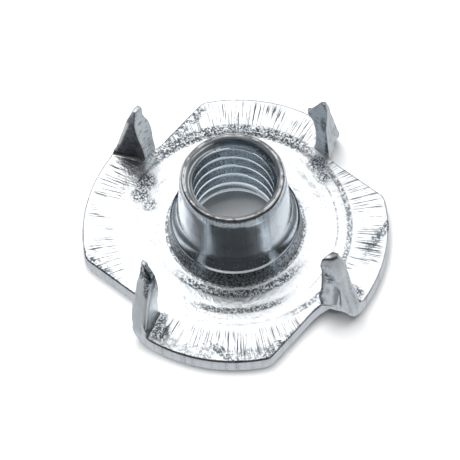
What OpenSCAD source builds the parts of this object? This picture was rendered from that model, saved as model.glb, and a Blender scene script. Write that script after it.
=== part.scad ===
// Four-prong tee nut, drawn and stamped from one piece of sheet steel.
// The flange lies on z = 0 and the threaded barrel rises along +Z. Each prong
// is sheared free along a straight edge of the flange and folded up at its root.

/* [Flange] */
// Diameter over the four round lobes
flange_d = 19; // [16:0.1:24]
// Thickness of the sheet
sheet_t = 1.1; // [0.8:0.05:1.4]
// Radius of the corner between a sheared edge and the rim
corner_r = 1; // [0.4:0.1:1.6]
// Width of the coined border round the flat field
border_w = 2.5; // [1.5:0.1:4]
// Depth of the coined border below the flat field
coin_depth = 0.06; // [0.02:0.01:0.12]
// Width of the slope between the field and the border
slope_w = 0.3; // [0.1:0.05:0.5]

/* [Barrel] */
// Height from the underside of the flange to the mouth
height = 7; // [5.5:0.1:10]
// Wall of the barrel just below the mouth
mouth_wall = 0.75; // [0.6:0.05:1.2]
// Radius that rounds the outer edge of the mouth
mouth_r = 0.3; // [0.1:0.05:0.3]
// Taper of the barrel's outside
barrel_taper = 4; // [1:0.5:6]
// Radius of the sweep from the barrel out to its shoulder
sweep_r = 1.8; // [1:0.1:4]
// What the shoulder adds to the wall at the mouth
shoulder_wall = 0.675; // [0.55:0.025:1.45]
// Height of the shoulder above the flange
shoulder_h = 1.2; // [0.8:0.05:2]
// How far the foot spreads past the shoulder
foot_spread = 0.28; // [0.1:0.02:0.6]

/* [Thread] */
// Core diameter of the thread
core_d = 5; // [4:0.05:5.4]
// Width of the countersink at the mouth
sink_w = 0.4; // [0.1:0.025:0.4]
// Depth of the countersink
sink_depth = 0.5; // [0.2:0.05:1]
// Radius of the drawn inlet in the underside
inlet_r = 1.8; // [1:0.05:2]

/* [Prongs] */
// Height of the tallest tips above the underside
tip_h = 6.9; // [5:0.1:10]
// Width left between a sheared edge and the rim, which becomes the prong
prong_w = 1.96; // [1.4:0.02:2.6]
// Width of the blunt tip
tip_w = 0.32; // [0.15:0.01:0.8]
// Inner radius of the fold
fold_r = 0.2; // [0.1:0.05:0.6]
// Angle of the fold line to the radius
fold_turn = 17; // [0:1:25]
// Lean of the prongs past upright
prong_lean = 3; // [0:1:8]
// Slope of the prong's inner edge away from the barrel
edge_slope = 2; // [0:1:6]
// Radius of the web left in the corner behind a prong
web_r = 3.6; // [1:0.1:5]
// Radius of the punch mark in the back of a prong
punch_r = 0.55; // [0.3:0.05:0.8]
// Depth of the punch mark at the root of the prong
punch_depth = 0.28; // [0.1:0.02:0.4]
// Height above the flange at which the punch mark runs out
punch_h = 3.2; // [2:0.1:4]
// Length of the front bevel that sharpens the tip
bevel_l = 1.1; // [0.6:0.1:1.8]
// Angle of the tip's bevels to the sheet
bevel_turn = 16; // [8:1:22]

/* [Hidden] */
$fn = 96;
PRONGS = 4;
EPS = 0.005;
// how far a cut runs on past what it cuts
OVER = 1;
// share of its tangent length over which a web runs along the sheared edge
WEB_SHARE = 0.9;
far = 2 * flange_d;
flange_r = flange_d / 2;
field_r = flange_r - border_w;
core_r = core_d / 2;
// thickness of the coined border and of the prongs, which are sheared from it
rim_t = sheet_t - coin_depth;
// distance from the axis to a sheared edge
shear_offset = flange_r - prong_w;
// outer radius of the fold, and width of the strip that the prongs are cut from
back_r = fold_r + rim_t;
strip_w = 3 * prong_w;
// what sets each prong apart: how much shorter it is than the tallest, how much
// less it leans, how far its fold lies towards its lobe, and whether its front
// is bevelled at the tip
tip_short = [0.4, 1.4, 0.3, 0];
lean_short = [4.5, -3, 0, 2.2];
fold_shift = [0.12, -0.27, 0, 0.2];
front_bevel = [true, false, true, true];

// The disc with its flat field and the lower, coined border
module blank() {
    difference() {
        cylinder(h = sheet_t, r = flange_r);
        translate([0, 0, rim_t])
            difference() {
                cylinder(h = sheet_t, r = flange_r + OVER);
                cylinder(h = coin_depth, r1 = field_r + slope_w, r2 = field_r);
            }
    }
}

// Plan frame of one fold: X runs along the fold line from the sheared edge to
// the rim, and Y towards the lobe that carries the prong
module at_fold(shift) {
    translate([shear_offset, shift + fold_r / cos(fold_turn)]) rotate(fold_turn) children();
}

// What the shear takes out of the disc beside one prong, less the web that
// stays in its corner
module notch(shift) {
    // past the fold line, where the prong's flat root fills the cut
    corner = [shear_offset, shift + (fold_r + rim_t / 4) / cos(fold_turn)];
    along = [cos(fold_turn), sin(fold_turn)];
    // the full run would draw the web out to a feather edge along the fold
    run = WEB_SHARE * web_r / tan(45 + fold_turn / 2);
    difference() {
        polygon([[corner[0], -flange_d], corner, corner + far * along, [far, -flange_d]]);
        difference() {
            polygon([corner, corner - [0, run], corner + [web_r, -run], corner + web_r * along]);
            translate(corner + [web_r, -run]) circle(r = web_r);
        }
    }
}

// What rounds the corner between the sheared edge and the rim. The arc stands
// EPS proud of the rim, so that it crosses it instead of grazing it.
module corner_round() {
    reach = flange_r - corner_r + EPS;
    centre_x = shear_offset - corner_r;
    centre_y = -sqrt(reach * reach - centre_x * centre_x);
    swing = atan2(centre_y, centre_x);
    translate([centre_x, centre_y])
        difference() {
            polygon([
                [0, 0],
                [2 * corner_r, 0],
                2 * corner_r * [cos(swing), sin(swing)]]);
            circle(r = corner_r);
        }
}

module flange() {
    difference() {
        blank();
        for (i = [0 : PRONGS - 1])
            rotate(i * 360 / PRONGS)
                translate([0, 0, -OVER])
                    linear_extrude(sheet_t + 2 * OVER) {
                        notch(fold_shift[i]);
                        corner_round();
                    }
    }
}

// Strip of sheet folded up at the fold line, as wide and tall as any prong,
// with its flat root reaching back into the lobe
module folded_strip(lean, shift) {
    at_fold(shift) {
        translate([-prong_w, 0, 0]) cube([strip_w, back_r, rim_t]);
        translate([-prong_w, 0, back_r]) {
            rotate([180, 90, 0])
                rotate_extrude(angle = 90 + lean)
                    translate([fold_r, -strip_w]) square([rim_t, strip_w]);
            rotate([-lean, 0, 0])
                translate([0, -back_r, 0]) cube([strip_w, rim_t, tip_h]);
        }
    }
}

// Outline of a prong seen along its sheared edge: X is the radius, Y the height
module prong_outline(height) {
    inner_tip = shear_offset + (height - rim_t) * tan(edge_slope);
    polygon([
        [shear_offset, -OVER],
        [shear_offset, rim_t],
        [inner_tip, height],
        [inner_tip + tip_w, height],
        [flange_r, rim_t + fold_r],
        [flange_r + OVER, rim_t + fold_r],
        [flange_r + OVER, -OVER]]);
}

// One prong: the folded strip cut to its outline and pointed
module prong(height, lean, shift, pointed_front) {
    difference() {
        intersection() {
            folded_strip(lean, shift);
            rotate([90, 0, 0])
                translate([0, 0, -strip_w])
                    linear_extrude(2 * strip_w) prong_outline(height);
            cylinder(h = 2 * tip_h, r = flange_r);
        }
        at_fold(shift)
            translate([0, 0, back_r])
                rotate([-lean, 0, 0]) {
                    punch_mark();
                    tip_bevels(height - back_r, pointed_front);
                }
    }
}

// Round hollow that the forming punch leaves in a prong's back, deepest at the
// root. Its frame is the fold's, with Z up the prong's back.
module punch_mark() {
    run_out = punch_h - fold_r;
    translate([prong_w / 2, -back_r, run_out])
        rotate([atan(punch_depth / run_out), 0, 0])
            translate([0, -punch_r, -far]) cylinder(h = 2 * far, r = punch_r);
}

// Bevels that thin the tip, the one on the back half as long as the front one
module tip_bevels(length, front) {
    if (front)
        translate([-OVER, -fold_r, length - bevel_l])
            rotate([bevel_turn, 0, 0]) cube([far, rim_t, far]);
    translate([-OVER, -back_r, length - bevel_l / 2])
        rotate([-bevel_turn, 0, 0]) translate([0, -rim_t, 0]) cube([far, rim_t, far]);
}

// Half section of the barrel's outside. Below the rounded mouth it tapers out,
// sweeps to the shoulder and drops to the foot.
module barrel_section() {
    mouth = [core_r + mouth_wall, height - mouth_r];
    shoulder = [core_r + mouth_wall + shoulder_wall, sheet_t + shoulder_h];
    down = [sin(barrel_taper), -cos(barrel_taper)];
    out = [cos(barrel_taper), sin(barrel_taper)];
    across = (shoulder - mouth) * out;
    run = (shoulder - mouth) * down - sqrt(2 * sweep_r * across - across * across);
    difference() {
        polygon([
            [0, 0],
            [shoulder[0] + foot_spread, 0],
            [shoulder[0] + foot_spread, sheet_t],
            shoulder,
            mouth + run * down,
            mouth,
            [mouth[0], height],
            [0, height]]);
        translate(mouth + run * down + sweep_r * out) circle(r = sweep_r);
        difference() {
            translate(mouth - [mouth_r, 0]) square(OVER);
            translate(mouth - [mouth_r, 0]) circle(r = mouth_r);
        }
    }
}

module barrel() {
    rotate_extrude() barrel_section();
}

// The bore: the thread's core, the countersink and the drawn inlet
module bore() {
    translate([0, 0, -OVER]) cylinder(h = height + 2 * OVER, r = core_r);
    translate([0, 0, height - sink_depth])
        cylinder(h = sink_depth, r1 = core_r, r2 = core_r + sink_w);
    rotate_extrude()
        difference() {
            translate([0, -OVER]) square([core_r + inlet_r, inlet_r + OVER]);
            translate([core_r + inlet_r, inlet_r]) circle(r = inlet_r);
        }
}

module tee_nut() {
    color("lightsteelblue")
        difference() {
            union() {
                flange();
                barrel();
                for (i = [0 : PRONGS - 1])
                    rotate(i * 360 / PRONGS)
                        prong(
                            tip_h - tip_short[i], prong_lean - lean_short[i],
                            fold_shift[i], front_bevel[i]);
            }
            bore();
        }
}

tee_nut();
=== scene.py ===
"""Tee nut of bright zinc-plated sheet steel: a flange sheared into four lobes, four prongs folded up
from its rim, and a drawn barrel with a tapped thread. Sizes are in millimetres and are built in metres."""
import math

import bmesh
import bpy
from mathutils import Matrix, Vector


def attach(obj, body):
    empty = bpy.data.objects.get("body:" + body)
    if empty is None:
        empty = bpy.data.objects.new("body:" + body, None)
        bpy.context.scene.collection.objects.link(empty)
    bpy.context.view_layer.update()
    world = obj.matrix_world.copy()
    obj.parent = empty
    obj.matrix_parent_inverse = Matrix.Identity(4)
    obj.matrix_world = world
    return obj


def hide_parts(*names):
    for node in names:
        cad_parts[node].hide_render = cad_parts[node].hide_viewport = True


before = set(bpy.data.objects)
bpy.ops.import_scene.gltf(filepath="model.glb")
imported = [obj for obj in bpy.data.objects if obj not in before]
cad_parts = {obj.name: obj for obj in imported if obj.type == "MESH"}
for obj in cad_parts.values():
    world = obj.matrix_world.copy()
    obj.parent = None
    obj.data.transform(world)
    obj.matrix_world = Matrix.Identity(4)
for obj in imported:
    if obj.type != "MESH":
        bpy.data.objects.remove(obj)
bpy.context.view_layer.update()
MM = 0.001

# ---------------------------------------------------------------- sizes, in millimetres
FIELD_Z = 1.1        # top of the flat field of the flange
BORDER_Z = 1.04      # top of its coined border
MIDDLE_R = 7.39      # where the turned middle ends
SEAM_R = 7.42        # where the lobes begin
RIM_R = 9.499        # how far out the prongs may be pushed
ROLLED = 0.3         # how far in the widest rolled edge reaches
FLOOR_LIFT = 0.005   # keeps the floor and the underside out of one plane
TURN_STEPS = 240     # steps of a full turn
# the barrel's outside: its taper in degrees, the sweep under it, and the radius and height where each part ends
TAPER, SWEEP_R = 4.0, 1.8
MOUTH, SHOULDER, FOOT = (3.25, 6.7), (3.925, 2.3), (4.205, FIELD_Z)
# the bore: its core, the drawn inlet at its foot and the height at which the countersink begins
CORE_R, INLET_R, SINK_Z = 2.5, 1.8, 6.5
# the thread: its pitch, the bottom of its grooves, and the heights between which it runs
PITCH, ROOT_R = 1.0, 2.94
THREAD_FROM, THREAD_TO = 1.4, 6.95
THREAD_START = THREAD_FROM - 1.5 * PITCH    # where the winding starts, below the part that is kept
LEAD, RUN_OUT = 0.9, 0.35                   # heights over which the thread begins and ends


def mm(x, y, z):
    """A place, from millimetres."""
    return Vector((x, y, z)) * MM


def vertex_of(geom):
    """The first vertex of what an operator gave back."""
    return [g for g in geom if isinstance(g, bmesh.types.BMVert)][0]


# ---------------------------------------------------------------- turned middle
def line_to(bm, at, r, z):
    """Runs a turned section on to a radius and a height."""
    step = bmesh.ops.extrude_vert_indiv(bm, verts=[at])["verts"][0]
    step.co = mm(r, 0, z)
    return step


def arc_about(bm, at, centre, turn, steps):
    """Runs a turned section on along an arc; a positive turn goes from Z over to X."""
    arc = bmesh.ops.spin(
        bm, geom=[at], cent=mm(centre[0], 0, centre[1]), axis=(0, 1, 0),
        angle=math.radians(turn), steps=steps)
    return vertex_of(arc["geom_last"])


def turned(bm):
    """Turns the section in the XZ plane once round the axis."""
    bmesh.ops.spin(
        bm, geom=bm.verts[:] + bm.edges[:], cent=(0, 0, 0), axis=(0, 0, 1),
        angle=math.tau, steps=TURN_STEPS, use_merge=True)
    bmesh.ops.remove_doubles(bm, verts=bm.verts, dist=1e-7)


def middle():
    """The flat field, the barrel and the bore, as one turned shell, left open in two circles at MIDDLE_R."""
    down = Vector((math.sin(math.radians(TAPER)), -math.cos(math.radians(TAPER))))
    out = Vector((-down[1], down[0]))
    step = Vector(SHOULDER) - Vector(MOUTH)
    across = step.dot(out)
    run = step.dot(down) - math.sqrt(2 * SWEEP_R * across - across * across)
    tangent = Vector(MOUTH) + run * down
    centre = tangent + SWEEP_R * out
    from_centre = Vector(SHOULDER) - centre
    swept = math.degrees(math.acos((tangent - centre).dot(from_centre) / SWEEP_R / from_centre.length))
    inlet_rim = CORE_R + INLET_R

    bm = bmesh.new()
    at = bmesh.ops.create_vert(bm, co=mm(MIDDLE_R, 0, 0))["vert"][0]
    for r in (6.6, 5.8, 5.0, inlet_rim):
        at = line_to(bm, at, r, 0)
    at = arc_about(bm, at, (inlet_rim, INLET_R), 90, 14)
    for i in range(1, 10):
        at = line_to(bm, at, CORE_R, INLET_R + (SINK_Z - INLET_R) * i / 9)
    for r, z in LIP:
        at = line_to(bm, at, r, z)
    for i in range(1, 7):
        at = line_to(bm, at, *(Vector(MOUTH) + down * run * i / 6))
    at = arc_about(bm, at, centre, -swept, 12)
    for r, z in [*LEDGE, FOOT, *RIPPLES, (MIDDLE_R, BORDER_Z)]:
        at = line_to(bm, at, r, z)
    turned(bm)
    return bm


# radius and height of the lip, from the countersink over its crown to the barrel's wall
LIP = [
    (2.89, 6.965), (2.93, 6.99), (2.98, 7.0), (3.05, 6.997), (3.10, 6.97), (3.15, 6.93), (3.19, 6.88), (3.22, 6.82),
    MOUTH]
# radius and height of the burnished ledge that rounds the shoulder
LEDGE = [(3.985, 2.303), (4.01, 2.285), (4.025, 2.24)]
# radius and height of the field's shallow rings and of the step down to the border
RIPPLES = [
    (4.30, 1.100), (4.45, 1.085), (4.75, 1.075), (5.05, 1.085), (5.2, 1.100), (5.5, 1.100), (5.65, 1.092),
    (5.8, 1.090), (5.95, 1.1), (6.3, 1.100), (6.6, 1.100), (6.8, 1.096), (6.92, 1.075), (7.0, 1.062),
    (7.1, 1.052), (7.25, 1.044), (7.35, BORDER_Z)]


def screw():
    """What the tap takes out: one thread groove wound round a core that stays clear of the bore's wall."""
    core = CORE_R - 0.1
    groove = ((core, 0.10), (ROOT_R, 0.42), (ROOT_R, 0.58), (core, 0.90), (core, 1.0))
    bm = bmesh.new()
    at = bmesh.ops.create_vert(bm, co=mm(core, 0, THREAD_START))["vert"][0]
    for i in range(int((THREAD_TO - THREAD_FROM) / PITCH) + 3):
        for r, dz in groove:
            at = line_to(bm, at, r, THREAD_START + (i + dz) * PITCH)
    bmesh.ops.spin(
        bm, geom=bm.verts[:] + bm.edges[:], cent=(0, 0, 0), axis=(0, 0, 1), dvec=(0, 0, PITCH * MM / TURN_STEPS),
        angle=math.tau, steps=TURN_STEPS)
    bmesh.ops.remove_doubles(bm, verts=bm.verts, dist=1e-7)
    for vert in bm.verts:
        z, radius = vert.co.z / MM, vert.co.xy.length / MM
        depth = max(0.0, min(1.0, (z - THREAD_FROM) / LEAD, (THREAD_TO - z) / RUN_OUT))
        vert.co.xy *= (core + (radius - core) * depth) / radius
    for z, inner, outer in ((THREAD_FROM, True, False), (THREAD_TO, False, True)):
        bmesh.ops.bisect_plane(
            bm, geom=bm.verts[:] + bm.edges[:] + bm.faces[:], dist=1e-8, plane_co=mm(0, 0, z), plane_no=(0, 0, 1),
            clear_inner=inner, clear_outer=outer)
    bmesh.ops.holes_fill(bm, edges=[e for e in bm.edges if e.is_boundary])
    bmesh.ops.recalc_face_normals(bm, faces=bm.faces)
    return bm


def made(name, bm):
    """Makes an object of a shape that is done."""
    mesh = bpy.data.meshes.new(name)
    bm.to_mesh(mesh)
    bm.free()
    piece = bpy.data.objects.new(name, mesh)
    bpy.context.scene.collection.objects.link(piece)
    return piece


def finished_mesh(piece):
    """The piece's mesh with its modifiers carried out."""
    return bpy.data.meshes.new_from_object(piece.evaluated_get(bpy.context.evaluated_depsgraph_get()))


def unmade(piece):
    """Takes an object apart again, so that its shape can be worked on."""
    bm = bmesh.new()
    bm.from_mesh(finished_mesh(piece))
    bpy.data.objects.remove(piece)
    return bm


def cut(piece, tool):
    """Takes the tool away from the piece, and drops the tool."""
    boolean = piece.modifiers.new("cut", "BOOLEAN")
    boolean.operation, boolean.object, boolean.solver = "DIFFERENCE", tool, "EXACT"
    bm = unmade(piece)
    bpy.data.objects.remove(tool)
    return bm


def wall_off(bm, radius):
    """Opens a closed shell at the wall that stands on a circle about the axis."""
    wall = [f for f in bm.faces if all(abs(v.co.xy.length - radius * MM) < 2e-6 for v in f.verts)]
    bmesh.ops.delete(bm, geom=wall, context="FACES")


def opened_middle():
    """The tapped middle, open at the seam with the lobes."""
    bm = middle()
    bmesh.ops.bridge_loops(bm, edges=[e for e in bm.edges if e.is_boundary])
    bmesh.ops.recalc_face_normals(bm, faces=bm.faces)
    bm = cut(made("turned_middle", bm), made("tap", screw()))
    wall_off(bm, MIDDLE_R)
    return bm


def prong_turn(at):
    """The turn that brings a place on or beside a prong to the frame of the first prong, on +X."""
    return Matrix.Rotation(-math.pi / 2 * round(math.atan2(at.y, at.x) / (math.pi / 2)), 3, "Z")


def front_of_rim(edge, centre):
    """Whether an edge runs up a prong between its front and the part of it that was the rim."""
    turn = prong_turn(centre)
    looks = [turn @ face.normal for face in edge.link_faces]
    return centre.z > 1.3 and max(n.y for n in looks) > 0.8 and max(n.x for n in looks) > 0.6


def eased(bm):
    """Weights the edges with their shares of the bevel: wide along the rolled top of the outline and
    up the prongs' rims, narrow elsewhere."""
    weight = bm.edges.layers.float.new("bevel_weight_edge")
    for edge in bm.edges:
        if len(edge.link_faces) != 2 or not edge.is_convex:
            continue
        if edge.calc_face_angle() < math.radians(24):
            continue
        centre = (edge.verts[0].co + edge.verts[1].co) / 2 / MM
        if centre.xy.length < SEAM_R + 0.01:
            continue
        flat = abs(edge.verts[0].co.z - edge.verts[1].co.z) < 1e-6
        if flat and abs(centre.z - BORDER_Z) < 0.01:
            edge[weight] = 0.45
        elif flat and centre.z < 0.01:
            edge[weight] = 0.14
        elif front_of_rim(edge, centre):
            edge[weight] = 1.0
        else:
            edge[weight] = 0.2


def on_prong(index, x, y, z):
    """A place on one prong, given as it would lie on the first; the prongs count round from +X."""
    return tuple(Matrix.Rotation(math.pi / 2 * index, 3, "Z") @ Vector((x, y, z)))


def sliced(bm):
    """Slices the prongs up, along and across, so that they can be dressed."""
    slices = [((0, 0, 0.3 * i), (0, 0, 1)) for i in range(4, 24)]
    slices += [((7.85 + 0.25 * i, 0, 0), (1, 0, 0)) for i in range(6)]
    slices += [((7.6, y, 0), (-0.292, 0.956, 0)) for y in (-0.75, -0.5, -0.25, 0.0)]
    for index in range(4):
        for place, normal in slices:
            faces = [f for f in bm.faces if max(v.co.z for v in f.verts) > 1.25 * MM
                     and Vector(on_prong(index, 1, 0, 0)).dot(f.calc_center_median()) > 7.3 * MM]
            edges = {e for f in faces for e in f.edges}
            verts = {v for f in faces for v in f.verts}
            bmesh.ops.bisect_plane(
                bm, geom=faces + sorted(edges, key=lambda e: e.index) + sorted(verts, key=lambda v: v.index),
                dist=1e-7, plane_co=mm(*on_prong(index, *place)), plane_no=on_prong(index, *normal))
            bm.verts.index_update()
            bm.edges.index_update()


# how the fold and the shear dressed each prong: the prong, the middle of the
# push, how far it reaches each way, and the push itself
PUSHES = [
    (0, (8.25, -0.3, 6.0), (0.8, 0.9, 2.1), (0.36, 0.26, 0.06)),
    (0, (8.0, -0.5, 6.5), (0.9, 0.9, 0.8), (0, 0, 0.26)),
    (0, (7.6, -0.95, 2.1), (0.6, 0.6, 1.1), (-0.08, -0.1, 0)),
    (0, (7.72, -0.95, 6.2), (0.35, 0.4, 0.8), (-0.08, -0.1, 0)),
    (0, (8.6, -0.1, 4.6), (0.8, 0.9, 2.0), (0.12, 0.1, 0)),
    (0, (8.42, -0.8, 3.0), (0.46, 0.6, 1.4), (0, 0.28, 0)),
    (0, (8.48, -0.8, 1.6), (0.46, 0.7, 1.7), (0, 0.32, 0)),
    (0, (8.85, -0.35, 1.4), (0.45, 0.35, 1.7), (0, -0.12, 0)),
    (1, (7.9, -0.85, 5.3), (1.1, 0.75, 1.9), (0, -0.2, 0.85)),
    (1, (7.9, 0.2, 5.3), (1.0, 0.7, 1.5), (0, 0.26, -0.95)),
    (1, (7.9, -0.35, 5.5), (1.0, 0.5, 1.2), (0, 0, 0.42)),
    (1, (7.6, 0.05, 2.8), (0.7, 0.6, 1.7), (0, -0.18, 0)),
    (1, (9.4, -0.7, 1.6), (0.5, 0.7, 1.1), (-0.1, 0.05, -0.1)),
    (1, (8.7, -0.6, 3.7), (0.8, 0.7, 1.7), (0.1, -0.06, 0)),
    (2, (7.6, -0.3, 1.3), (1.3, 1.8, 3.8), (0, -0.28, 0)),
    (2, (7.6, -0.9, 3.9), (0.8, 0.6, 1.7), (0, -0.16, 0)),
    (2, (7.7, -0.8, 5.9), (0.6, 0.5, 1.0), (0, 0.2, 0)),
    (3, (8.3, -0.6, 6.3), (0.7, 0.5, 1.4), (-0.05, 0.16, 0)),
    (3, (9.0, -0.35, 3.0), (0.8, 0.6, 1.9), (0.03, -0.2, 0)),
    (3, (7.8, 0.35, 4.3), (1.0, 0.6, 1.8), (0, 0.19, 0)),
    (3, (7.8, 0.25, 6.9), (0.6, 0.55, 0.9), (0, -0.3, -0.08))]


def dressed(bm):
    """Pushes the prongs from their plain folded form to the uneven one that the press leaves."""
    for vert in bm.verts:
        turn = prong_turn(vert.co)
        at = turn @ vert.co / MM
        # the seam and the lobes away from the prongs stay as they are
        if at.x < 7.45 or abs(at.y) > 2.6:
            continue
        index = round(math.atan2(vert.co.y, vert.co.x) / (math.pi / 2)) % 4
        root = min(1.0, max(0.0, at.z - 0.2))
        moved = Vector()
        for prong, middle_of, reach, push in PUSHES:
            if prong == index:
                off = sum(((at[k] - middle_of[k]) / reach[k]) ** 2 for k in range(3))
                moved += Vector(push) * (max(0.0, 1 - off) ** 2 * root)
        at += moved
        at.x = min(at.x, RIM_R)
        vert.co = turn.transposed() @ at * MM


def lobes(node):
    """The lobes and the prongs, as a merged copy of the solid less its middle, with eased edges."""
    bm = bmesh.new()
    bm.from_mesh(node.data)
    bmesh.ops.remove_doubles(bm, verts=bm.verts, dist=2e-6)
    plug = bmesh.new()
    bmesh.ops.create_cone(
        plug, cap_ends=True, segments=TURN_STEPS, radius1=SEAM_R * MM, radius2=SEAM_R * MM, depth=20 * MM)
    bm = cut(made("lobes", bm), made("plug", plug))
    bmesh.ops.remove_doubles(bm, verts=bm.verts, dist=0.03 * MM)
    bmesh.ops.dissolve_limit(bm, angle_limit=math.radians(0.4), verts=bm.verts, edges=bm.edges)
    eased(bm)
    piece = made("lobes", bm)
    bevel = piece.modifiers.new("rolled_edges", "BEVEL")
    bevel.limit_method, bevel.width, bevel.segments = "WEIGHT", ROLLED * MM, 3
    bevel.use_clamp_overlap = False
    bm = unmade(piece)
    wall_off(bm, SEAM_R)
    sliced(bm)
    # the faces take their finish before they are pushed, because the pushes turn them
    for face in bm.faces:
        face.material_index = FINISHES.index(finish_of(face))
    dressed(bm)
    return bm


def joined(first, second):
    """Adds the second shape to the first."""
    mesh = bpy.data.meshes.new("part")
    second.to_mesh(mesh)
    first.from_mesh(mesh)
    second.free()
    return first


# ---------------------------------------------------------------- finishes
class Finish:
    """One procedural metal finish. Each method adds a node and gives its output back. Lengths on
    the pattern side are in millimetres."""

    def __init__(self, name, metallic=1.0):
        self.material = bpy.data.materials.new(name)
        self.material.use_nodes = True
        self.tree = self.material.node_tree
        self.shader = self.tree.nodes["Principled BSDF"]
        self.shader.inputs["Metallic"].default_value = metallic
        place = self.add("ShaderNodeTexCoord").outputs["Object"]
        self.place = self.add("ShaderNodeMapping", Vector=place, Scale=(1 / MM,) * 3).outputs["Vector"]
        self.x, self.y, self.z = self.add("ShaderNodeSeparateXYZ", Vector=self.place).outputs
        flat = self.add("ShaderNodeCombineXYZ", X=self.x, Y=self.y).outputs[0]
        self.radius = self.vector("LENGTH", flat)
        self.outward = self.vector("NORMALIZE", flat)

    def put(self, node, name, value):
        socket = node.inputs[name]
        if isinstance(value, bpy.types.NodeSocket):
            self.tree.links.new(value, socket)
        else:
            socket.default_value = value

    def add(self, kind, settings=(), **inputs):
        node = self.tree.nodes.new(kind)
        for name, value in dict(settings).items():
            setattr(node, name, value)
        for name, value in inputs.items():
            self.put(node, name, value)
        return node

    def vector(self, operation, *values, scale=None):
        node = self.add("ShaderNodeVectorMath", {"operation": operation})
        for index, value in enumerate(values):
            self.put(node, index, value)
        if scale is not None:
            self.put(node, "Scale", scale)
        return node.outputs["Value" if operation in ("LENGTH", "DISTANCE") else "Vector"]

    def dot(self, first, second):
        node = self.add("ShaderNodeVectorMath", {"operation": "DOT_PRODUCT"})
        self.put(node, 0, first)
        self.put(node, 1, second)
        return node.outputs["Value"]

    def math(self, operation, *values, clamp=False):
        node = self.add("ShaderNodeMath", {"operation": operation, "use_clamp": clamp})
        for index, value in enumerate(values):
            self.put(node, index, value)
        return node.outputs[0]

    def times(self, *values):
        product = values[0]
        for value in values[1:]:
            product = self.math("MULTIPLY", product, value)
        return product

    def most(self, *values):
        result = values[0]
        for value in values[1:]:
            result = self.math("MAXIMUM", result, value)
        return result

    def rise(self, value, low, high, bottom=0.0, top=1.0):
        """Goes smoothly from bottom to top while the value goes from low to high."""
        node = self.add("ShaderNodeMapRange", {"interpolation_type": "SMOOTHSTEP"}, Value=value)
        for name, number in (("From Min", low), ("From Max", high), ("To Min", bottom), ("To Max", top)):
            self.put(node, name, number)
        return node.outputs[0]

    def between(self, value, low, high, soft):
        """Is one between low and high, and fades to nothing past them."""
        return self.times(self.rise(value, low - soft, low), self.rise(value, high, high + soft, 1.0, 0.0))

    def spot(self, x, y, inner, outer):
        """A round patch on the flange, full inside one radius and gone outside the other."""
        flat = self.add("ShaderNodeCombineXYZ", X=self.x, Y=self.y).outputs[0]
        return self.rise(self.vector("DISTANCE", flat, (x, y, 0)), inner, outer, 1.0, 0.0)

    def patch(self, index, place, reach):
        """A soft patch on one prong, given as it would lie on the first."""
        size = on_prong(index, *reach)
        scaled = [1 / abs(s) for s in size]
        middle_at = [p * s for p, s in zip(on_prong(index, *place), scaled)]
        return self.rise(
            self.vector("DISTANCE", self.vector("MULTIPLY", self.place, scaled), middle_at), 0.45, 1.0, 1.0, 0.0)

    def noise(self, vector, scale, detail=3.0, roughness=0.55):
        return self.add(
            "ShaderNodeTexNoise", Vector=vector, Scale=scale, Detail=detail, Roughness=roughness).outputs[0]

    def streaks(self, across, along, detail=3.0):
        """Noise drawn out along the radii: so many cells round a radian, and so many to a millimetre."""
        way = self.vector("SCALE", self.outward, scale=across)
        far_out = self.add("ShaderNodeCombineXYZ", Z=self.times(self.radius, along)).outputs[0]
        return self.noise(self.vector("ADD", way, far_out), 1.0, detail)

    def drawn(self, x, y, z, detail=3.0):
        """Noise with its own number of cells to a millimetre along each axis."""
        return self.noise(self.vector("MULTIPLY", self.place, (x, y, z)), 1.0, detail)

    def less(self, value):
        """What a share leaves of the whole."""
        return self.math("SUBTRACT", 1.0, value)

    def blend(self, factor, first, second):
        node = self.add("ShaderNodeMix", {"data_type": "RGBA"})
        self.put(node, 0, factor)
        self.put(node, 6, first)
        self.put(node, 7, second)
        return node.outputs[2]

    def done(self, colour, roughness, *bumps):
        """Closes the finish. A bump is a height and the depth, in millimetres, that it stands for."""
        self.put(self.shader, "Base Color", colour)
        self.put(self.shader, "Roughness", roughness)
        normal = None
        for height, depth in bumps:
            node = self.add("ShaderNodeBump", Height=height, Distance=depth * MM, Strength=1.0)
            if normal is not None:
                self.put(node, "Normal", normal)
            normal = node.outputs[0]
        self.put(self.shader, "Normal", normal)
        return self.material


BRIGHT = (0.86, 0.88, 0.90, 1)
DEEP = (0.035, 0.045, 0.055, 1)
# ways across the flange: to its front, its back and its right, as the nut is first looked at
FRONT, BACK, RIGHT = (0.675, -0.738, 0), (-0.675, 0.738, 0), (0.738, 0.675, 0)


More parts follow.
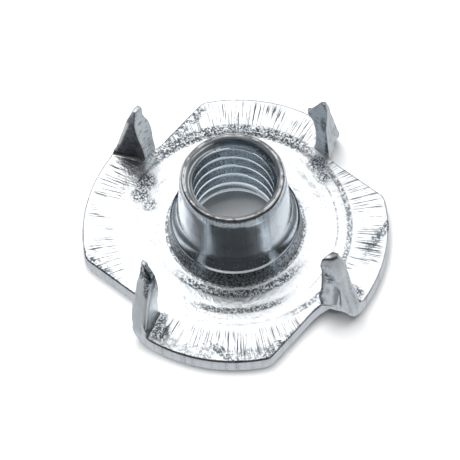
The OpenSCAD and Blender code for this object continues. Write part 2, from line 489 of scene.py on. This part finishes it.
def plated_flange():
    """Bright zinc on the flat field and the coined border: grain, rings, strain streaks and scuffs."""
    f = Finish("plated_flange")
    grain = f.noise(f.place, 7.0, 4.0, 0.6)
    coarse = f.noise(f.place, 2.6, 3.0)
    cloud = f.noise(f.place, 0.5, 2.0)
    strain = f.streaks(110.0, 0.5, 2.0)
    zone = f.times(f.between(f.radius, 7.7, 8.9, 0.6), f.rise(cloud, 0.32, 0.52))
    strained = f.times(f.rise(strain, 0.525, 0.63), zone)
    front = f.rise(f.dot(f.outward, FRONT), 0.5, 0.84)
    rings = f.most(
        f.times(f.between(f.radius, 4.15, 4.3, 0.15), 0.8),
        f.times(f.between(f.radius, 4.6, 4.95, 0.2), front),
        f.times(f.between(f.radius, 5.85, 6.1, 0.14), f.rise(f.dot(f.outward, FRONT), 0.84, 0.96), 0.9),
        f.times(f.between(f.radius, 6.8, 7.45, 0.25), f.rise(f.dot(f.outward, BACK), 0.6, 0.84)),
        f.times(f.between(f.radius, 6.98, 7.2, 0.12), f.rise(f.dot(f.outward, RIGHT), 0.25, 0.6), 0.75),
        f.times(f.between(f.radius, 6.3, 6.36, 0.05), f.rise(f.dot(f.outward, RIGHT), 0.5, 0.9), 0.5))
    trodden = f.times(
        f.between(f.radius, 8.8, 9.3, 0.4), f.rise(f.dot(f.outward, FRONT), 0.45, 0.85), f.rise(cloud, 0.36, 0.5), 0.6)
    scuffs = f.most(trodden, *[f.spot(x, y, inner, outer) for x, y, inner, outer in SCUFFS])
    edge = f.math("MAXIMUM", f.x, f.times(f.y, -1.0))
    far_edge = f.times(f.between(f.x, -7.5, -6.95, 0.2), f.between(f.y, 2.4, 5.2, 0.7))
    along_edge = f.times(
        f.most(f.times(f.between(edge, 7.05, 7.5, 0.15), f.rise(f.radius, 7.9, 8.5)), far_edge),
        f.rise(coarse, 0.40, 0.50))
    marked = f.math("MINIMUM", f.most(rings, scuffs, f.times(along_edge, 0.9)), 1.0)
    speckle = f.noise(f.place, 8.0, 4.0, 0.62)
    mottled = f.times(marked, f.rise(speckle, 0.42, 0.56))
    specks = f.times(f.rise(grain, 0.58, 0.72), 0.35)
    dark = f.math("MAXIMUM", f.most(strained, mottled), specks, clamp=True)
    tinted = f.blend(f.times(marked, f.rise(coarse, 0.40, 0.60, 0.1, 0.6)), BRIGHT, (0.40, 0.46, 0.52, 1))
    colour = f.blend(f.times(dark, 0.9), tinted, DEEP)
    rough = f.math("ADD", 0.28, f.times(dark, 0.2))
    return f.done(colour, rough, (coarse, 0.034), (grain, 0.014), (strain, 0.01))


# where the flange was scuffed as each prong was folded: the place, and the radii it fades between
SCUFFS = [
    (-6.5, -1.0, 0.4, 0.95), (-6.1, -1.9, 0.3, 0.85), (-5.2, -2.1, 0.15, 0.7), (1.1, 6.8, 0.35, 0.9),
    (1.95, 6.3, 0.2, 0.75), (0.5, -8.0, 0.3, 0.85), (1.2, -8.6, 0.35, 0.9), (8.7, 1.0, 0.25, 0.75)]


def burnished_barrel():
    """The drawn barrel: polished by the die, with fine drawing lines up its wall and a rough foot darkened partly by
    painted shade; at the front, a painted highlight on the shoulder's top band and a painted sheen under the mouth,
    and painted shade on that band elsewhere.
    """
    f = Finish("burnished_barrel")
    lines = f.streaks(42.0, 0.5, 4.0)
    fine = f.noise(f.place, 9.0, 4.0, 0.62)
    swell = f.noise(f.place, 1.6, 2.0)
    coarse = f.noise(f.place, 3.2, 3.0)
    salt = f.noise(f.place, 7.0, 4.0, 0.62)
    front = f.rise(f.dot(f.outward, FRONT), 0.78, 0.93)
    foot = f.rise(f.z, 2.20, 2.25, 1.0, 0.0)
    # a band round the top of the shoulder: painted highlight at the front, painted shade elsewhere
    painted_ledge_band = f.between(f.z, 2.26, 2.32, 0.02)
    # a rough band under the mouth, with a painted sheen at the front
    rough_brow_and_painted_sheen = f.times(f.between(f.z, 6.5, 6.8, 0.12), f.rise(fine, 0.36, 0.52))
    # the foot's dark speckle: its own texture, and painted shade on the steep wall
    mottle_and_painted_shade = f.times(foot, f.rise(salt, 0.42, 0.58, 0.0, 0.75), f.rise(coarse, 0.30, 0.45, 0.6, 1.0))
    # darker: the drawing lines, the foot, and painted shade on the shoulder's top band away from the front
    dark = f.most(
        f.times(f.rise(lines, 0.50, 0.70), f.rise(fine, 0.4, 0.6), 0.5), mottle_and_painted_shade, f.times(painted_ledge_band, f.less(front), 0.7))
    colour = f.blend(dark, (0.72, 0.78, 0.84, 1), DEEP)
    specks = f.times(f.rise(salt, 0.44, 0.56, 1.0, 0.0), f.rise(f.z, 1.25, 1.85, 0.40, 0.0), foot)
    # less metal, so lighter: real specks and matt spots, and at the front a painted highlight on the shoulder's top
    # band and a painted sheen under the mouth
    dull_and_painted_sheen = f.most(
        f.times(rough_brow_and_painted_sheen, front, 0.45), f.times(painted_ledge_band, front, 0.8), specks, f.times(f.rise(fine, 0.55, 0.7), 0.12))
    f.put(f.shader, "Metallic", f.less(dull_and_painted_sheen))
    rough = f.most(0.15, f.times(foot, 0.36), f.times(rough_brow_and_painted_sheen, 0.6), f.times(f.rise(fine, 0.5, 0.7), 0.3))
    return f.done(colour, rough, (swell, 0.012), (lines, 0.004), (fine, 0.003))


def turned_mouth():
    """The rolled lip, a shade warmer where the zinc is thin."""
    f = Finish("turned_mouth")
    wear = f.noise(f.place, 2.5, 4.0)
    colour = f.blend(f.rise(wear, 0.42, 0.62), (0.56, 0.54, 0.52, 1), (0.20, 0.19, 0.18, 1))
    return f.done(colour, 0.35, (wear, 0.004))


def tapped_thread():
    """The tapped bore, with the tap's fine lines round it, painted highlights on the crests at the sides, painted
    shadow in the roots and painted glints on the countersink, strongest on the left.
    """
    f = Finish("tapped_thread")
    lines = f.drawn(0.5, 0.5, 9.0, 2.0)
    fine = f.noise(f.place, 4.0, 2.0)
    turn = f.times(f.math("ARCTAN2", f.y, f.x), 1 / math.tau)
    wound = f.math("SUBTRACT", f.z, turn)
    phase = f.math("FRACT", f.math("SUBTRACT", wound, THREAD_START))
    root = f.times(f.between(phase, 0.42, 0.56, 0.05), f.between(f.z, 1.9, 6.7, 0.3))
    crest = f.most(f.rise(phase, 0.04, 0.10, 1.0, 0.0), f.rise(phase, 0.92, 0.96))
    cut = f.blend(f.rise(lines, 0.4, 0.7), (0.56, 0.62, 0.67, 1), (0.34, 0.39, 0.43, 1))
    beside = f.rise(f.math("ABSOLUTE", f.dot(f.outward, RIGHT)), 0.1, 0.7, 0.25, 1.0)
    # painted highlights on the crests, strongest at the sides
    with_painted_highlight = f.blend(f.times(crest, beside, f.between(f.z, 1.6, 6.7, 0.1)), cut, (0.95, 0.97, 0.98, 1))
    # painted shadow in the roots of the thread
    darkened = f.blend(f.times(root, 0.8), with_painted_highlight, (0.12, 0.14, 0.16, 1))
    colour = f.blend(f.rise(f.z, 1.3, 2.0, 1.0, 0.0), darkened, (0.34, 0.37, 0.39, 1))
    sink = f.rise(f.z, 6.46, 6.52)
    # bright arcs on the countersink, strongest on the left: painted glints, with less metal under them
    arcs = f.between(f.math("FRACT", f.times(wound, 4.0)), 0.35, 0.55, 0.14)
    painted_glints = f.times(arcs, f.rise(lines, 0.35, 0.6), f.rise(f.dot(f.outward, RIGHT), -0.9, 0.6, 0.9, 0.35))
    with_arcs = f.blend(f.times(sink, painted_glints), colour, (0.92, 0.94, 0.95, 1))
    f.put(f.shader, "Metallic", f.less(f.times(sink, f.math("ADD", 0.12, f.times(painted_glints, 0.6)))))
    return f.done(with_arcs, f.most(f.rise(fine, 0.3, 0.7, 0.20, 0.28), f.times(sink, 0.5)), (lines, 0.002))


def sheared_rim():
    """The cut edge of the sheet: matt grey, with faint upright tool marks and dark patches at the fourth prong's tip.
    """
    f = Finish("sheared_rim")
    marks = f.streaks(30.0, 0.3, 3.0)
    fine = f.noise(f.place, 7.0, 3.0)
    marked = f.times(f.rise(marks, 0.42, 0.7), f.rise(fine, 0.3, 0.6))
    plain = f.blend(marked, (0.64, 0.655, 0.67, 1), (0.44, 0.455, 0.47, 1))
    tip = f.times(f.most(
        f.patch(3, (8.2, 0.0, 6.3), (0.8, 0.9, 0.9)), f.patch(3, (8.5, 0.35, 5.4), (0.6, 0.4, 1.6))),
        f.rise(fine, 0.38, 0.52))
    colour = f.blend(f.times(tip, 0.85), plain, DEEP)
    return f.done(colour, f.rise(fine, 0.3, 0.7, 0.32, 0.45), (marks, 0.006), (fine, 0.004))


def folded_sheet():
    """The faces of the prongs that were the sheet's own: smooth, with fine upright strain lines and wear marks,
    painted shade on the first three prongs and painted highlights on the third and fourth.
    """
    f = Finish("folded_sheet")
    lines = f.drawn(5.0, 5.0, 1.2)
    fine = f.noise(f.place, 7.0, 3.0)
    torn = f.drawn(3.5, 3.5, 3.5, 4.0)
    plain = f.blend(f.rise(lines, 0.42, 0.75), (0.57, 0.59, 0.61, 1), (0.32, 0.34, 0.36, 1))
    # painted shade over the face of the third prong
    painted_shade_tone = f.blend(f.rise(torn, 0.35, 0.62), (0.07, 0.085, 0.105, 1), (0.24, 0.27, 0.31, 1))
    dim = f.blend(f.times(f.patch(2, (8.3, 0.35, 2.6), (1.6, 0.6, 6.5)), 0.85), plain, painted_shade_tone)
    # a painted highlight up the drawn corner on the outside of the third prong, and another on the root of the fourth
    corner = f.times(f.rise(f.math("SUBTRACT", f.times(f.z, 0.27), f.x), 9.46, 9.56), f.between(f.z, 2.6, 5.4, 0.4))
    with_painted_corner_highlight = f.blend(f.times(corner, f.rise(f.x, -7.6, -7.5, 1.0, 0.0)), dim, (0.62, 0.62, 0.61, 1))
    with_painted_highlight = f.blend(f.patch(3, (8.1, 0.3, 2.6), (1.6, 0.7, 3.6)), with_painted_corner_highlight, (0.90, 0.96, 1.0, 1))
    # painted shade in the first prong's hollow and near its top, and on the second prong's crown
    hollow = f.most(
        f.times(f.patch(0, (8.46, -0.5, 1.9), (0.3, 0.9, 2.6)), 0.7),
        f.times(f.patch(0, (8.25, -0.2, 6.7), (0.6, 0.6, 0.9)), 0.75))
    crown = f.times(f.patch(1, (8.0, 0.0, 5.6), (1.2, 0.85, 1.4)), f.rise(f.z, 4.7, 4.9), 0.85)
    shaded = f.blend(f.most(hollow, crown), with_painted_highlight, (0.11, 0.12, 0.13, 1))
    # wear marks on the first and fourth prongs
    darkened = f.times(f.most(
        f.patch(0, (8.12, -0.9, 4.75), (0.45, 0.6, 0.9)), f.patch(0, (7.62, -1.0, 2.3), (0.25, 0.5, 1.8)),
        f.patch(3, (7.9, 0.4, 5.9), (0.7, 0.5, 1.6))), f.rise(torn, 0.40, 0.56))
    colour = f.blend(f.times(darkened, 0.85), shaded, DEEP)
    return f.done(colour, f.rise(fine, 0.3, 0.7, 0.28, 0.42), (lines, 0.006), (torn, 0.015), (fine, 0.004))


def sheared_face():
    """The sheared edges of the prongs: pale, torn and streaked along the shear."""
    f = Finish("sheared_face", metallic=0.65)
    torn = f.drawn(2.2, 2.2, 4.5, 4.0)
    fine = f.noise(f.place, 6.0, 4.0)
    pitted = f.times(f.most(
        f.patch(1, (7.7, -0.85, 4.3), (0.5, 0.35, 1.1)), f.patch(1, (7.65, -1.15, 2.2), (0.4, 0.22, 2.6))),
        f.rise(fine, 0.36, 0.5))
    dark = f.most(f.times(f.rise(torn, 0.50, 0.68), 0.6), f.times(pitted, 0.85))
    pale = f.blend(f.patch(1, (8.0, -0.4, 3.5), (2.0, 2.0, 5.0)), (0.93, 0.98, 1.0, 1), (0.66, 0.74, 0.78, 1))
    colour = f.blend(dark, pale, (0.10, 0.13, 0.16, 1))
    return f.done(colour, 0.34, (torn, 0.05), (fine, 0.012))


def underside():
    """The flat underside, dulled where it lay on the die."""
    f = Finish("underside")
    grain = f.noise(f.place, 7.0, 4.0)
    cloud = f.noise(f.place, 0.5, 4.0)
    drawn = f.streaks(60.0, 0.4, 3.0)
    scratches = f.drawn(9.0, 0.5, 1.0, 3.0)
    plain = f.blend(f.rise(cloud, 0.35, 0.7), (0.74, 0.76, 0.78, 1), (0.64, 0.66, 0.68, 1))
    marks = f.most(
        f.times(f.rise(drawn, 0.52, 0.66), f.between(f.radius, 4.4, 6.2, 0.8)),
        f.times(f.rise(scratches, 0.60, 0.70), 0.7), f.times(f.rise(grain, 0.60, 0.72), 0.5))
    colour = f.blend(f.times(marks, 0.6), plain, (0.26, 0.28, 0.30, 1))
    return f.done(colour, f.rise(grain, 0.3, 0.7, 0.32, 0.48), (grain, 0.012), (drawn, 0.006))


FINISHES = [
    plated_flange, burnished_barrel, turned_mouth, tapped_thread, sheared_rim, folded_sheet, sheared_face, underside]


def finish_of(face):
    """Which finish a face of the nut takes, from where it lies and where it looks."""
    at, normal = face.calc_center_median() / MM, face.normal
    radius = max(v.co.xy.length for v in face.verts) / MM
    # the bore with its inlet, and the barrel
    in_inlet = at.z < 1.08 and radius < 4.31 and normal.z > -0.98
    if radius < 2.96 or in_inlet:
        return turned_mouth if at.z > 6.99 else tapped_thread
    if radius < 4.22 and at.z > FIELD_Z:
        return turned_mouth if at.z > 6.97 else burnished_barrel
    # the flange
    if normal.z < -0.7 and at.z < 0.3:
        return underside
    if at.z < 1.15:
        return plated_flange if normal.z > 0.55 else sheared_rim
    # the prongs
    look = prong_turn(at) @ normal
    if look.z > 0.6:
        return folded_sheet
    if look.x < -0.6:
        return sheared_face
    return sheared_rim if look.x > 0.75 else folded_sheet


# ---------------------------------------------------------------- the nut
nut = joined(opened_middle(), lobes(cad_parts["tee_nut"]))
# the seam is closed below and above
for z in (0, BORDER_Z):
    seam = [e for e in nut.edges if e.is_boundary and abs(e.verts[0].co.z - z * MM) < 8e-6]
    bmesh.ops.bridge_loops(nut, edges=seam)
bmesh.ops.recalc_face_normals(nut, faces=nut.faces)
for face in nut.faces:
    if max(v.co.xy.length for v in face.verts) < (SEAM_R + 0.01) * MM:
        face.material_index = FINISHES.index(finish_of(face))
    face.smooth = True
piece = made("tee_nut_body", nut)
for finish in FINISHES:
    piece.data.materials.append(finish())
piece.data.set_sharp_from_angle(angle=math.radians(32))
even = piece.modifiers.new("even_shading", "WEIGHTED_NORMAL")
even.keep_sharp, even.weight = True, 80
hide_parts("tee_nut")
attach(piece, "root")

# ---------------------------------------------------------------- floor, light and camera
floor_mesh = bmesh.new()
bmesh.ops.create_grid(floor_mesh, x_segments=1, y_segments=1, size=0.6)
bmesh.ops.translate(floor_mesh, verts=floor_mesh.verts, vec=mm(0, 0, FLOOR_LIFT))
floor = made("floor", floor_mesh)
paper = bpy.data.materials.new("paper")
paper.use_nodes = True
paper.node_tree.nodes["Principled BSDF"].inputs["Base Color"].default_value = (0.88, 0.893, 0.905, 1)
paper.node_tree.nodes["Principled BSDF"].inputs["Roughness"].default_value = 0.9
floor.data.materials.append(paper)

# the viewer's place, in degrees and metres; the softboxes stand at a turn from the viewer's azimuth
AZIMUTH, ELEVATION, ROLL = 42.449, 59.162, -3.212
DISTANCE, TARGET = 208.126 * MM, mm(-0.560, 0.102, 0)


def aimed(azimuth, elevation):
    """The directions right of, above and towards a viewer who stands at an azimuth and an elevation."""
    azimuth, elevation = math.radians(azimuth), math.radians(elevation)
    back = Vector((math.sin(azimuth) * math.cos(elevation), -math.cos(azimuth) * math.cos(elevation),
                   math.sin(elevation)))
    right = Vector((math.cos(azimuth), math.sin(azimuth), 0))
    return right, back.cross(right), back


def placed(thing, azimuth, elevation, distance, target, roll=0.0):
    """Puts a camera or a lamp at a distance from its target, looking at it."""
    right, up, back = aimed(azimuth, elevation)
    roll = math.radians(roll)
    right, up = (right * math.cos(roll) + up * math.sin(roll), up * math.cos(roll) - right * math.sin(roll))
    turn = Matrix((right, up, back)).transposed().to_4x4()
    thing.matrix_world = Matrix.Translation(target + back * distance) @ turn
    return thing


camera = bpy.data.objects.new("camera", bpy.data.cameras.new("camera"))
camera.data.lens, camera.data.sensor_width = 261.71, 36
camera.data.clip_start, camera.data.clip_end = 0.01, 5
bpy.context.scene.collection.objects.link(camera)
bpy.context.scene.camera = placed(camera, AZIMUTH, ELEVATION, DISTANCE, TARGET, ROLL)


def softbox(name, turn, lift, width, height, level):
    """A lamp as bright as a level of white, at a turn from the viewer and a lift above the floor."""
    lamp = bpy.data.lights.new(name, "AREA")
    lamp.shape, lamp.size, lamp.size_y = "RECTANGLE", width, height
    lamp.energy = math.pi * width * height * level
    box = bpy.data.objects.new(name, lamp)
    bpy.context.scene.collection.objects.link(box)
    return placed(box, AZIMUTH + turn, lift, 0.4, Vector((0, 0, 0)))


def studio():
    """A bright box behind and above, one to the right, one back to the left and a narrow strip; the
    fill lights the floor alone."""
    for name, turn, lift, width, height, level in (
            ("back_top", 180, 63, 0.42, 0.30, 1.35),
            ("right", 92, 56, 0.26, 0.22, 1.2),
            ("back_left", -135, 55, 0.26, 0.24, 1.2),
            ("left_strip", -62, 56, 0.03, 0.2, 0.5)):
        softbox(name, turn, lift, width, height, level)
    fill = softbox("fill", -150, 74, 0.35, 0.35, 5.5)
    fill.visible_glossy = False


def surroundings():
    """Bright below the horizon and dim above it. Away from the front the light reaches up over it."""
    world = bpy.data.worlds.new("studio")
    bpy.context.scene.world = world
    world.use_nodes = True
    tree, nodes = world.node_tree, world.node_tree.nodes
    seen = nodes.new("ShaderNodeTexCoord").outputs["Generated"]
    way = nodes.new("ShaderNodeSeparateXYZ")
    tree.links.new(seen, way.inputs[0])
    ahead = nodes.new("ShaderNodeVectorMath")
    ahead.operation, ahead.inputs[1].default_value = "DOT_PRODUCT", FRONT
    tree.links.new(seen, ahead.inputs[0])
    raised, height, level = [nodes.new(kind) for kind in (
        "ShaderNodeMapRange", "ShaderNodeMath", "ShaderNodeMapRange")]
    height.operation = "SUBTRACT"
    for node, numbers in ((raised, (-0.1, 0.45, 0.5, -0.14)), (level, (-0.5, -0.2, 0.95, 0.05))):
        for name, number in zip(("From Min", "From Max", "To Min", "To Max"), numbers):
            node.inputs[name].default_value = number
    tree.links.new(ahead.outputs["Value"], raised.inputs["Value"])
    tree.links.new(way.outputs["Z"], height.inputs[0])
    tree.links.new(raised.outputs[0], height.inputs[1])
    tree.links.new(height.outputs[0], level.inputs["Value"])
    tree.links.new(level.outputs[0], nodes["Background"].inputs["Strength"])
    nodes["Background"].inputs["Color"].default_value = (0.92, 0.96, 1, 1)


studio()
surroundings()
floor.visible_glossy = False
bpy.context.scene.view_settings.view_transform = "Standard"
